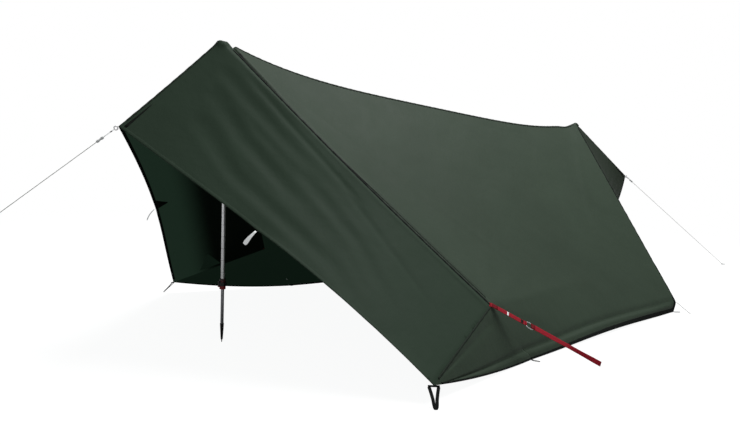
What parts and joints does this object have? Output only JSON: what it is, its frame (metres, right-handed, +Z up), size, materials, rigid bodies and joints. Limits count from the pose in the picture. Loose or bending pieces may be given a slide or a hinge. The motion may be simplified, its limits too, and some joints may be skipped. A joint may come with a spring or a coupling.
{
  "type": "trekking pole ridge tarp tent",
  "caption": "Floorless ridge shelter: one sewn sheet with a front awning and a beaked rear, held up by two telescopic poles, taut guylines and side straps.",
  "frame": {"origin": "on the ground, at the centre of the base of the box round the shelter without its guylines", "axes": "+Z up, +Y from the front awning towards the rear beak, +X to the right seen from the front"},
  "size_m": [2.2366, 6.2744, 1.2487],
  "materials": {
    "shell_fabric": "matte",
    "binding": "matte",
    "reinforcement": "matte",
    "black_webbing": "matte",
    "red_webbing": "matte",
    "reflective_webbing": "satin",
    "cord": "matte",
    "ring_metal": "satin",
    "black_plastic": "matte",
    "pale_plastic": "satin",
    "red_plastic": "satin",
    "grip_foam": "matte",
    "red_foam": "matte",
    "pole_tube": "satin",
    "pole_tube_dark": "satin"
  },
  "bodies": {
    "canopy": {"apex_cups": "black_plastic", "awning_hem_left": "binding", "awning_hem_right": "binding", "awning_panel_left": "shell_fabric", "awning_panel_right": "shell_fabric", "beak_grommets": "ring_metal", "beak_tabs": "reflective_webbing", "beak_tip_patches": "reinforcement", "closure_patches": "reinforcement", "corner_gusset_left": "shell_fabric", "corner_gusset_right": "shell_fabric", "corner_line_left": "cord", "corner_line_right": "cord", "corner_patches": "reinforcement", "front_corner_loops": "black_webbing", "front_ground_loop": "cord", "front_guyline": "cord", "main_panel_left": "shell_fabric", "main_panel_right": "shell_fabric", "peg_loops": "black_webbing", "rear_ground_loop": "cord", "rear_guyline": "cord", "rear_hem_left": "binding", "rear_hem_right": "binding", "rear_panel_left": "shell_fabric", "rear_panel_right": "shell_fabric", "seam_tapes": "binding", "side_hem_left": "binding", "side_hem_right": "binding", "strap_tabs": "red_webbing", "toggle_patches": "reinforcement"},
    "front_pole": {"front_pole_grip": "grip_foam", "front_pole_foam": "red_foam", "front_pole_upper_tube": "pole_tube", "front_pole_upper_clamp": "red_plastic"},
    "front_pole_middle": {"front_pole_middle_tube": "pole_tube", "front_pole_lower_clamp": "black_plastic"},
    "front_pole_lower": {"front_pole_lower_tube": "pole_tube_dark", "front_pole_tip": "black_plastic"},
    "front_upper_lever": {"front_pole_upper_lever": "black_plastic"},
    "front_lower_lever": {"front_pole_lower_lever": "black_plastic"},
    "front_tensioner": {"front_tensioner": "pale_plastic"},
    "rear_pole": {"rear_pole_grip": "grip_foam", "rear_pole_foam": "red_foam", "rear_pole_upper_tube": "pole_tube", "rear_pole_upper_clamp": "red_plastic"},
    "rear_pole_middle": {"rear_pole_middle_tube": "pole_tube", "rear_pole_lower_clamp": "black_plastic"},
    "rear_pole_lower": {"rear_pole_lower_tube": "pole_tube_dark", "rear_pole_tip": "black_plastic"},
    "rear_upper_lever": {"rear_pole_upper_lever": "black_plastic"},
    "rear_lower_lever": {"rear_pole_lower_lever": "black_plastic"},
    "rear_tensioner": {"rear_tensioner": "pale_plastic"},
    "right_toggle": {"toggle_right": "reflective_webbing"},
    "right_strap_ring": {"strap_ring_right": "ring_metal"},
    "right_ground_strap": {"ground_strap_right": "red_webbing"},
    "left_toggle": {"toggle_left": "reflective_webbing"},
    "left_strap_ring": {"strap_ring_left": "ring_metal"},
    "left_ground_strap": {"ground_strap_left": "red_webbing"},
    "closure_hook": {"closure_hook": "black_plastic"}
  },
  "joints": [
    {"name": "front_pole_swing", "type": "hinge", "parent": "canopy", "child": "front_pole", "pos_m": [0, -1.305, 1.202], "axis": [1, 0, 0], "range_deg": [-12, 12]},
    {"name": "front_middle_slide", "type": "slide", "parent": "front_pole", "child": "front_pole_middle", "axis": [0, 0, 1], "range_m": [-0.06, 0.36]},
    {"name": "front_lower_slide", "type": "slide", "parent": "front_pole_middle", "child": "front_pole_lower", "axis": [0, 0, 1], "range_m": [-0.1, 0.14]},
    {"name": "front_upper_lever_turn", "type": "hinge", "parent": "front_pole", "child": "front_upper_lever", "pos_m": [0, -1.322, 0.682], "axis": [0, 0, -1], "range_deg": [0, 100]},
    {"name": "front_lower_lever_turn", "type": "hinge", "parent": "front_pole_middle", "child": "front_lower_lever", "pos_m": [0, -1.322, 0.25], "axis": [0, 0, -1], "range_deg": [0, 100]},
    {"name": "rear_pole_swing", "type": "hinge", "parent": "canopy", "child": "rear_pole", "pos_m": [0, 1.12, 1.008], "axis": [1, 0, 0], "range_deg": [-5, 12]},
    {"name": "rear_middle_slide", "type": "slide", "parent": "rear_pole", "child": "rear_pole_middle", "axis": [0, 0, 1], "range_m": [-0.06, 0.28]},
    {"name": "rear_lower_slide", "type": "slide", "parent": "rear_pole_middle", "child": "rear_pole_lower", "axis": [0, 0, 1], "range_m": [-0.1, 0.05]},
    {"name": "rear_upper_lever_turn", "type": "hinge", "parent": "rear_pole", "child": "rear_upper_lever", "pos_m": [0, 1.103, 0.488], "axis": [0, 0, -1], "range_deg": [0, 100]},
    {"name": "rear_lower_lever_turn", "type": "hinge", "parent": "rear_pole_middle", "child": "rear_lower_lever", "pos_m": [0, 1.103, 0.158], "axis": [0, 0, -1], "range_deg": [0, 100]},
    {"name": "front_tensioner_slide", "type": "slide", "parent": "canopy", "child": "front_tensioner", "axis": [0, -0.79, -0.6132], "range_m": [-0.005, 0.5]},
    {"name": "rear_tensioner_slide", "type": "slide", "parent": "canopy", "child": "rear_tensioner", "axis": [0, 0.9089, -0.417], "range_m": [-0.005, 0.5]},
    {"name": "right_toggle_swing", "type": "hinge", "parent": "canopy", "child": "right_toggle", "pos_m": [0.461, -1.417, 0.528], "axis": [0.7991, 0.3411, -0.4951], "range_deg": [-35, 50], "stiffness_Nm_per_rad": 0.004},
    {"name": "right_ring_lift", "type": "hinge", "parent": "canopy", "child": "right_strap_ring", "pos_m": [0.94007, -0.4704, 0.17316], "axis": [0.5577, -0.6574, -0.5068], "range_deg": [0, 45]},
    {"name": "right_strap_tighten", "type": "slide", "parent": "right_strap_ring", "child": "right_ground_strap", "axis": [-0.4689, -0.7533, 0.4612], "range_m": [0, 0.014]},
    {"name": "left_toggle_swing", "type": "hinge", "parent": "canopy", "child": "left_toggle", "pos_m": [-0.461, -1.417, 0.528], "axis": [0.7991, -0.3411, 0.4951], "range_deg": [-35, 50], "stiffness_Nm_per_rad": 0.004},
    {"name": "left_ring_lift", "type": "hinge", "parent": "canopy", "child": "left_strap_ring", "pos_m": [-0.94007, -0.4704, 0.17316], "axis": [0.5577, 0.6574, 0.5068], "range_deg": [0, 45]},
    {"name": "left_strap_tighten", "type": "slide", "parent": "left_strap_ring", "child": "left_ground_strap", "axis": [0.4689, -0.7533, 0.4612], "range_m": [0, 0.014]},
    {"name": "closure_hook_swing", "type": "hinge", "parent": "canopy", "child": "closure_hook", "pos_m": [0.067, 1.003, 0.16], "axis": [0, 0, 1], "range_deg": [-60, 60]}
  ]
}
